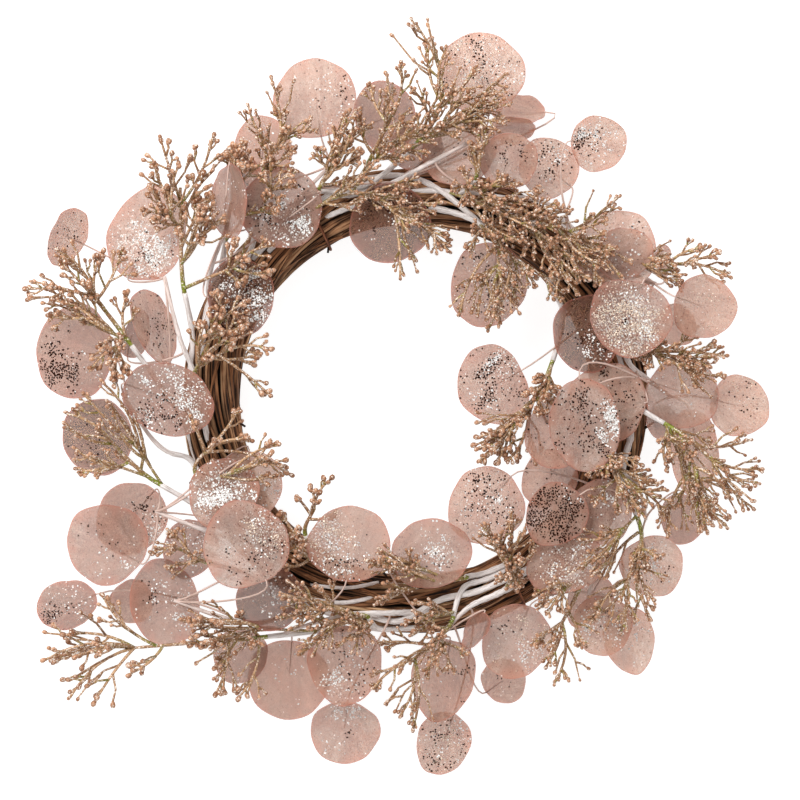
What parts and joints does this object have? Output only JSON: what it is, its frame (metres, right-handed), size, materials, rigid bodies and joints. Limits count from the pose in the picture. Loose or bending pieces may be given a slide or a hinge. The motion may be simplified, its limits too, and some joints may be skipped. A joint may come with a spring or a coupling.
{
  "type": "dried flower wreath",
  "caption": "Round wreath of blush fabric leaves and glittered bud sprays on a ring of twisted vines.",
  "frame": {"origin": "middle of the wreath on the surface it lies on", "axes": "+Z out of the wreath's face, up; +Y to twelve o'clock; +X to the right as seen from its face"},
  "size_m": [0.6016, 0.6112, 0.1005],
  "materials": {
    "vine": "dry bark",
    "tie": "dry bark",
    "leaf": "thin fibrous fabric with glitter",
    "spray": "bronze glitter"
  },
  "bodies": {
    "root": {"vine_inner": "vine", "vine_outer_1": "vine", "vine_outer_2": "vine", "vine_outer_3": "vine", "vine_outer_4": "vine", "vine_tie_1": "tie", "vine_tie_2": "tie", "vine_tie_3": "tie", "vine_tie_4": "tie", "leaf_pick_01": "leaf", "leaf_pick_02": "leaf", "leaf_pick_03": "leaf", "leaf_pick_04": "leaf", "leaf_pick_05": "leaf", "leaf_pick_06": "leaf", "leaf_pick_07": "leaf", "leaf_pick_08": "leaf", "leaf_pick_09": "leaf", "leaf_pick_10": "leaf", "leaf_pick_11": "leaf", "leaf_pick_12": "leaf", "leaf_pick_13": "leaf", "leaf_pick_14": "leaf", "bud_spray_01": "spray", "bud_spray_02": "spray", "bud_spray_03": "spray", "bud_spray_04": "spray", "bud_spray_05": "spray", "bud_spray_06": "spray", "bud_spray_07": "spray", "bud_spray_08": "spray", "bud_spray_09": "spray", "bud_spray_10": "spray", "bud_spray_11": "spray", "bud_spray_12": "spray", "bud_spray_13": "spray", "bud_spray_14": "spray", "bud_spray_15": "spray", "bud_spray_16": "spray", "bud_spray_17": "spray", "bud_spray_18": "spray", "bud_spray_19": "spray", "bud_spray_20": "spray", "bud_spray_21": "spray", "bud_spray_22": "spray", "bud_spray_23": "spray", "bud_spray_24": "spray", "bud_spray_25": "spray", "bud_spray_26": "spray", "bud_spray_27": "spray", "bud_spray_28": "spray"}
  },
  "joints": []
}
